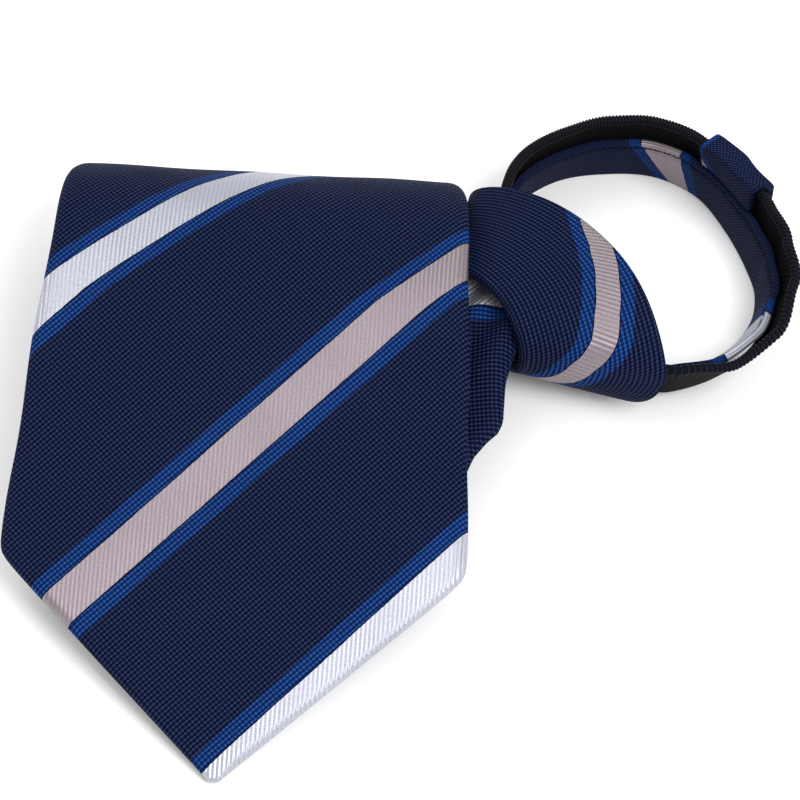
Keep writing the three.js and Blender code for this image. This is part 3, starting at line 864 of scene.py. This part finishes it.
SLEEVE_ROUND = 0.95
SLEEVE_SIDE_STEP = 0.4
# Its silver stripe only touches a corner: distance from the stripe's line at the left end, how fast it
# moves away along the sleeve, and how fast it comes nearer down the inner leg and leaves down the outer
SLEEVE_STRIPE_START = 2.0
SLEEVE_STRIPE_ALONG = 2.2
SLEEVE_STRIPE_INNER = 1.5
SLEEVE_STRIPE_OUTER = -0.3
SLEEVE_STRIPE_DROP = 1
# The ends are drawn in a little, and the cloth waves
SLEEVE_PINCH = 0.1
SLEEVE_PINCH_LENGTH = 0.8
SLEEVE_WAVE = 0.08
SLEEVE_WAVE_ALONG = 0.9
SLEEVE_WAVE_UP = 0.3
SLEEVE_HOLLOW = 1.0


def sleeve_stripes(travel, out, height):
    from_left = SLEEVE_MIDDLE + SLEEVE_LENGTH / 2 - travel
    down = np.maximum(0, COIL_TOP - height - SLEEVE_STRIPE_DROP)
    nearer = np.where(out < TAPE_MIDDLE, SLEEVE_STRIPE_INNER, SLEEVE_STRIPE_OUTER)
    start = SILVER_MIDDLE + LINE_END + SLEEVE_STRIPE_START
    return start + from_left * SLEEVE_STRIPE_ALONG - nearer * down


def sleeve_shape(travel, out, height):
    first = SLEEVE_MIDDLE - SLEEVE_LENGTH / 2
    last = SLEEVE_MIDDLE + SLEEVE_LENGTH / 2
    pinch = SLEEVE_PINCH * np.exp(-min(travel - first, last - travel) / SLEEVE_PINCH_LENGTH)
    wave = SLEEVE_WAVE * np.sin(travel * SLEEVE_WAVE_ALONG + height * SLEEVE_WAVE_UP)
    from_middle = out - TAPE_MIDDLE
    moves = np.abs(from_middle) > SLEEVE_HOLLOW
    return out + np.sign(from_middle) * (wave - pinch) * moves, height


def sleeve_piece():
    inner_in = TAPE_MIDDLE - COIL_WIDTH / 2 - GAP
    inner_out = TAPE_MIDDLE + COIL_WIDTH / 2 + GAP
    inner_top = COIL_TOP + GAP
    top = inner_top + SLEEVE_WALL
    outline = rounded_outline(
        [
            (inner_out + SLEEVE_WALL, top - SLEEVE_OUTER_LEG),
            (inner_out + SLEEVE_WALL, top),
            (inner_in - SLEEVE_WALL, top),
            (inner_in - SLEEVE_WALL, top - SLEEVE_INNER_LEG),
            (inner_in, top - SLEEVE_INNER_LEG),
            (inner_in, inner_top),
            (inner_out, inner_top),
            (inner_out, top - SLEEVE_OUTER_LEG),
        ],
        SLEEVE_ROUND,
        SLEEVE_SIDE_STEP,
    )
    start = SLEEVE_MIDDLE - SLEEVE_LENGTH / 2
    return along_loop("sleeve_cloth", outline, start, start + SLEEVE_LENGTH, sleeve_shape, sleeve_stripes)


# Slider: two shield-shaped plates on a post, with a short pull that hangs on the outer one
SLIDER_LENGTH_GAP = 0.3
SLIDER_HALF_THICKNESS = 2.5
SLIDER_PLATE_IN = 0.95
SLIDER_PLATE_OUT = 1.75
SLIDER_NARROW = 0.66
SLIDER_POST_HALF_HEIGHT = 1.6
SLIDER_BODY_TOP = 0.2
SLIDER_BODY_HEIGHT = 7.4
SLIDER_ROUND = 0.32
SLIDER_SIDE_STEP = 0.8
# How far the post and the bridge reach into the plates
SLIDER_OVERLAP = 0.2
# A plate's shape: how square its ends are, how narrow they get, and how soon it is at its full height
SHIELD_POWER = 5
SHIELD_END = 0.35
SHIELD_WIDENING = 1.4
POST_END_GAP = 1.2
BRIDGE_HALF_LENGTH = 1
BRIDGE_BELOW = 0.9
BRIDGE_TOP_GAP = 0.8
PULL_WIDTH = 3.6
PULL_IN = 1.9
PULL_OUT_GAP = 0.05
PULL_DROP = 10.2
PULL_TOP_GAP = 0.5


def slider_pieces():
    start = STRAP_END + SLIDER_LENGTH_GAP
    end = LOOP_LENGTH - SLIDER_LENGTH_GAP
    body_top = COIL_TOP - SLIDER_BODY_TOP
    body_bottom = body_top - SLIDER_BODY_HEIGHT
    middle = (body_top + body_bottom) / 2

    def shield(travel, out, height):
        share = (travel - start) / (end - start)
        ends = math.sqrt(max(0.0, 1 - abs(2 * share - 1) ** SHIELD_POWER))
        widened = mix(SLIDER_NARROW, 1.0, float(smooth(share * SHIELD_WIDENING)))
        return out, middle + (height - middle) * widened * max(SHIELD_END, ends)

    def slab(name, across, up, along, shape=None):
        """A block by its reach across the tape, up it and along the loop."""
        outline = block_outline(across, up, SLIDER_ROUND, SLIDER_SIDE_STEP)
        return along_loop(name, outline + np.array([TAPE_MIDDLE, 0]), *along, shape)

    centre = (start + end) / 2
    body = (body_bottom, body_top)
    post_half_width = SLIDER_PLATE_IN + SLIDER_OVERLAP
    return [
        slab("slider_plate_outer", (SLIDER_PLATE_IN, SLIDER_PLATE_OUT), body, (start, end), shield),
        slab("slider_plate_inner", (-SLIDER_PLATE_OUT, -SLIDER_PLATE_IN), body, (start, end), shield),
        slab(
            "slider_post",
            (-post_half_width, post_half_width),
            (middle - SLIDER_POST_HALF_HEIGHT, middle + SLIDER_POST_HALF_HEIGHT),
            (centre, end - POST_END_GAP),
        ),
        slab(
            "slider_bridge",
            (SLIDER_PLATE_OUT - SLIDER_OVERLAP, SLIDER_HALF_THICKNESS),
            (middle - BRIDGE_BELOW, body_top - BRIDGE_TOP_GAP),
            (centre - BRIDGE_HALF_LENGTH, centre + BRIDGE_HALF_LENGTH),
        ),
        slab(
            "slider_pull",
            (PULL_IN, SLIDER_HALF_THICKNESS - PULL_OUT_GAP),
            (body_top - PULL_DROP, middle - PULL_TOP_GAP),
            (centre - PULL_WIDTH / 2, centre + PULL_WIDTH / 2),
        ),
    ]


# Materials
class Graph:
    """A short way to write a material's nodes."""

    def __init__(self, name):
        self.material = bpy.data.materials.new(name)
        self.material.use_nodes = True
        self.tree = self.material.node_tree
        self.shader = self.tree.nodes["Principled BSDF"]

    def node(self, kind, **settings):
        made = self.tree.nodes.new(kind)
        for key, value in settings.items():
            setattr(made, key, value)
        return made

    def put(self, socket, value):
        if isinstance(value, bpy.types.NodeSocket):
            self.tree.links.new(value, socket)
        else:
            socket.default_value = value

    def look(self, name, value):
        self.put(self.shader.inputs[name], value)

    def math(self, operation, a, b=0.0, c=0.0):
        made = self.node("ShaderNodeMath", operation=operation)
        for socket, value in zip(made.inputs, (a, b, c)):
            self.put(socket, value)
        return made.outputs[0]

    def mix_value(self, share, a, b):
        made = self.node("ShaderNodeMix", data_type="FLOAT")
        self.put(made.inputs[0], share)
        self.put(made.inputs[2], a)
        self.put(made.inputs[3], b)
        return made.outputs[0]

    def mix_colour(self, share, a, b):
        made = self.node("ShaderNodeMix", data_type="RGBA")
        self.put(made.inputs[0], share)
        self.put(made.inputs[6], a)
        self.put(made.inputs[7], b)
        return made.outputs[2]

    def spread(self, value, low, high):
        made = self.node("ShaderNodeMapRange", interpolation_type="SMOOTHSTEP")
        for socket, number in zip(made.inputs, (value, low, high)):
            self.put(socket, number)
        return made.outputs[0]

    def uv(self, name):
        layer = self.node("ShaderNodeUVMap", uv_map=name)
        split = self.node("ShaderNodeSeparateXYZ")
        self.put(split.inputs[0], layer.outputs[0])
        return layer.outputs[0], split.outputs[0], split.outputs[1]

    def noise(self, vector, scale, detail=2.0):
        made = self.node("ShaderNodeTexNoise")
        self.put(made.inputs["Vector"], vector)
        made.inputs["Scale"].default_value = scale
        made.inputs["Detail"].default_value = detail
        return made.outputs[0]

    def uneven(self, vector, scale, detail, low, reach):
        """A value that wanders between low and low + reach."""
        return self.math("MULTIPLY_ADD", self.noise(vector, scale, detail), reach, low)

    def bump(self, height, distance):
        made = self.node("ShaderNodeBump")
        made.inputs["Strength"].default_value = 1.0
        made.inputs["Distance"].default_value = distance
        self.put(made.inputs["Height"], height)
        self.look("Normal", made.outputs[0])

    def wave(self, value, length, offset=0.0):
        turned = self.math("MULTIPLY_ADD", value, 2 * math.pi / length, offset)
        return self.math("COSINE", turned)


def opaque(colour):
    return (*colour, 1.0)


def cloth_bands(graph, stripe):
    """Colours of thread and ground by band, and how far the band is smooth satin."""
    from_silver, from_white = (
        graph.math("PINGPONG", graph.math("SUBTRACT", stripe, middle), STRIPE_PERIOD / 2)
        for middle in (SILVER_MIDDLE, WHITE_MIDDLE)
    )
    nearest = graph.math("MINIMUM", from_silver, from_white)
    is_silver = graph.math("LESS_THAN", from_silver, from_white)
    satin, lined, bordered = (
        graph.math("LESS_THAN", nearest, end) for end in (STRIPE_HALF, LINE_END, ROYAL_END)
    )
    found = []
    for k in (0, 1):
        colour = {band: opaque(pair[k]) for band, pair in CLOTH_COLOURS.items()}
        plain_part = graph.mix_colour(bordered, colour["navy"], colour["royal"])
        plain_part = graph.mix_colour(lined, plain_part, colour["line"])
        bright_part = graph.mix_colour(is_silver, colour["white"], colour["silver"])
        found.append(graph.mix_colour(satin, plain_part, bright_part))
    return found[0], found[1], satin


# Cloth: noise scale, detail, lowest value and reach of the stripe edges' wobble and of the two shades
EDGE_WOBBLE = (0.9, 2.0, -0.15, 0.3)
THREAD_SHADE = (2.2, 3.0, 0.75, 0.5)
SLOW_SHADE = (0.05, 2.0, 0.88, 0.24)
DASH_LOW = -0.45
DASH_HIGH = 0.85
# Ribs of the satin as reach and middle, in colour and in height, and the fine threads over them
RIB_COLOUR = (0.35, 0.62)
RIB_HEIGHT = (0.2, 0.6)
FINE_THREADS = 3
FINE_HEIGHT = 0.05
CLOTH_ROUGHNESS = 0.62
SATIN_SMOOTHING = -0.22
CLOTH_SPECULAR = 0.03
CLOTH_BUMP = 0.00022
STRAP_BUMP = 0.00014
# Tape: its twill's two lengths and range, and its noise as scale, detail, lowest value and reach
TWILL_LENGTHS = (0.8, 0.55)
TWILL_LOW = -0.4
TWILL_HIGH = 0.8
TAPE_COLOURS = ((0.0012, 0.0012, 0.0018), (0.010, 0.010, 0.0125))
TAPE_ROUGHNESS = (1.5, 2.0, 0.68, 0.2)
TAPE_SPECULAR = 0.06
TAPE_BUMP = 0.00015
# Nylon, thread and metal: their grain
GRAIN_SCALE = 900.0
GRAIN_DETAIL = 3.0
GRAIN_DARKEST = 0.7
GRAIN_ROUGHNESS = 0.2
GRAIN_BUMP = 0.00003
# Floor
FLOOR_COLOURS = ((0.93, 0.93, 0.93), (0.95, 0.95, 0.95))
FLOOR_GRAIN = 40.0
FLOOR_ROUGHNESS = 0.8
FLOOR_SPECULAR = 0.1


def striped_cloth(name, scale=1.0, bump_depth=CLOTH_BUMP):
    """The tie's cloth: staggered dashes of thread on a dark ground, and smooth ribbed stripes."""
    graph = Graph(name)
    vector, along, across = graph.uv("weave")
    _, stripe, _ = graph.uv("stripes")
    wobble = graph.uneven(vector, *EDGE_WOBBLE)
    thread, ground, satin = cloth_bands(graph, graph.math("ADD", stripe, wobble))
    dashes, slanted = (
        graph.math(
            "MULTIPLY",
            graph.wave(across, THREAD_ACROSS * scale, offset),
            graph.wave(along, THREAD_ALONG * scale, offset),
        )
        for offset in (0.0, -math.pi / 2)
    )
    dashes = graph.math("MULTIPLY_ADD", slanted, DASH_LEAN, dashes)
    ribs = graph.wave(across, RIB_PITCH * scale)
    fine = graph.wave(along, THREAD_ALONG * scale / FINE_THREADS)
    dash_mask = graph.spread(dashes, DASH_LOW, DASH_HIGH)
    rib_mask = graph.math("MULTIPLY_ADD", ribs, *RIB_COLOUR)
    cloth = graph.mix_colour(graph.mix_value(satin, dash_mask, rib_mask), ground, thread)
    shade = graph.math(
        "MULTIPLY", graph.uneven(vector, *THREAD_SHADE), graph.uneven(vector, *SLOW_SHADE)
    )
    shaded = graph.node("ShaderNodeVectorMath", operation="SCALE")
    graph.put(shaded.inputs[0], cloth)
    graph.put(shaded.inputs["Scale"], shade)
    graph.look("Base Color", shaded.outputs[0])
    rough = graph.math("MULTIPLY_ADD", satin, SATIN_SMOOTHING, CLOTH_ROUGHNESS)
    graph.look("Roughness", rough)
    graph.look("Specular IOR Level", CLOTH_SPECULAR)
    graph.look("Metallic", graph.math("MULTIPLY", satin, SATIN_GLOSS))
    rib_height = graph.math("MULTIPLY_ADD", ribs, *RIB_HEIGHT)
    rib_height = graph.math("MULTIPLY_ADD", fine, FINE_HEIGHT, rib_height)
    graph.bump(graph.mix_value(satin, dash_mask, rib_height), bump_depth)
    return graph.material


def black_tape():
    """Woven zip tape: a fine twill with ribs along the edge."""
    graph = Graph("zip_tape_weave")
    vector, along, round_it = graph.uv("weave")
    lean = graph.math("ADD", along, round_it)
    lean_length, edge_length = TWILL_LENGTHS
    twill = graph.math("MULTIPLY", graph.wave(lean, lean_length), graph.wave(round_it, edge_length))
    mask = graph.spread(twill, TWILL_LOW, TWILL_HIGH)
    colour = graph.mix_colour(mask, *map(opaque, TAPE_COLOURS))
    graph.look("Base Color", colour)
    graph.look("Roughness", graph.uneven(vector, *TAPE_ROUGHNESS))
    graph.look("Specular IOR Level", TAPE_SPECULAR)
    graph.bump(mask, TAPE_BUMP)
    return graph.material


def plain(name, colour, roughness, specular=0.5, metallic=0.0):
    """One colour with fine unevenness, for nylon, thread and metal."""
    graph = Graph(name)
    texture = graph.node("ShaderNodeTexCoord")
    grain = graph.noise(texture.outputs["Object"], GRAIN_SCALE, GRAIN_DETAIL)
    dark = tuple(c * GRAIN_DARKEST for c in colour)
    graph.look("Base Color", graph.mix_colour(grain, opaque(dark), opaque(colour)))
    rough = graph.math("MULTIPLY_ADD", grain, GRAIN_ROUGHNESS, roughness - GRAIN_ROUGHNESS / 2)
    graph.look("Roughness", rough)
    graph.look("Specular IOR Level", specular)
    graph.look("Metallic", metallic)
    graph.bump(grain, GRAIN_BUMP)
    return graph.material


def floor_material():
    graph = Graph("floor_paint")
    texture = graph.node("ShaderNodeTexCoord")
    grain = graph.noise(texture.outputs["Object"], FLOOR_GRAIN)
    graph.look("Base Color", graph.mix_colour(grain, *map(opaque, FLOOR_COLOURS)))
    graph.look("Roughness", FLOOR_ROUGHNESS)
    graph.look("Specular IOR Level", FLOOR_SPECULAR)
    return graph.material


# Assembly
def dress(piece, material, slot, *nodes):
    piece.data.materials.append(material)
    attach(piece, "root")
    if nodes:
        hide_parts(*nodes)
    return piece


def build_tie():
    cloth = striped_cloth("tie_cloth")
    strap_cloth = striped_cloth("strap_cloth_weave", STRAP_WEAVE_SCALE, STRAP_BUMP)
    tape = black_tape()
    nylon = plain("coil_nylon", (0.006, 0.006, 0.0075), 0.45, specular=0.09)
    thread = plain("dark_thread", (0.003, 0.004, 0.012), 0.7, specular=0.05)

    blade, area, length = blade_piece()
    dress(blade, cloth, "blade_cloth", "blade")

    knot = dress(knot_piece(), cloth, "knot_cloth", "knot")

    strap = dress(strap_piece(), strap_cloth, "strap_cloth", "neck_strap")
    stitches = dress(strap_stitches(), thread, "strap_cloth")
    for side, start, end in (("right", 0, RIGHT_END), ("left", LEFT_START, STRAP_END)):
        band = dress(tape_piece("tape_" + side, start, end), tape, "zip_tape", "zip_tape_" + side)
        dress(coil_piece("coil_" + side, start, end), nylon, "zip_coil", "zip_coil_" + side)
        dress(coil_core("coil_core_" + side, start, end), thread, "zip_coil")
    sleeve = dress(sleeve_piece(), strap_cloth, "strap_cloth", "tape_sleeve")

    paint = plain("slider_paint", (0.03, 0.03, 0.034), 0.34, metallic=0.7)
    plate, *others = slider_pieces()
    dress(plate, paint, "slider_metal", "zip_slider")
    for other in others:
        dress(other, paint, "slider_metal")


FLOOR_HALF = 3.0
WORLD_STRENGTH = 0.85
# Name, place in metres, width in metres and power in watts
LAMPS = (
    ("key", (0.42, -0.45, 0.78), 0.5, 8.0),
    ("fill", (-0.5, 0.35, 0.9), 0.8, 4.0),
)


def build_studio():
    mesh = bpy.data.meshes.new("floor")
    corners = [(x * FLOOR_HALF, y * FLOOR_HALF, 0) for x, y in ((-1, -1), (1, -1), (1, 1), (-1, 1))]
    mesh.from_pydata(corners, [], [(0, 1, 2, 3)])
    floor = in_scene("floor", mesh)
    floor.data.materials.append(floor_material())

    world = bpy.data.worlds.new("studio")
    bpy.context.scene.world = world
    world.use_nodes = True
    background = world.node_tree.nodes["Background"]
    background.inputs[0].default_value = (1, 1, 1, 1)
    background.inputs[1].default_value = WORLD_STRENGTH

    for name, spot, width, power in LAMPS:
        light = bpy.data.lights.new(name, "AREA")
        light.size = width
        light.energy = power
        lamp = in_scene(name, light)
        lamp.location = spot
        lamp.rotation_euler = (-Vector(spot)).to_track_quat("-Z", "Y").to_euler()


def build_camera():
    elevation = CAMERA_ELEVATION * DEGREE
    back = np.array([0, -math.cos(elevation), math.sin(elevation)]) * CAMERA_DISTANCE
    data = bpy.data.cameras.new("camera")
    data.lens = CAMERA_LENS
    data.sensor_width = CAMERA_SENSOR
    data.clip_start = CAMERA_CLIP
    camera = in_scene("camera", data)
    camera.location = (DRAWING_SHIFT + back) * MM
    camera.rotation_euler = (math.pi / 2 - elevation, 0, 0)
    bpy.context.scene.camera = camera


build_tie()
build_studio()
bpy.context.scene.view_settings.view_transform = "Standard"
build_camera()
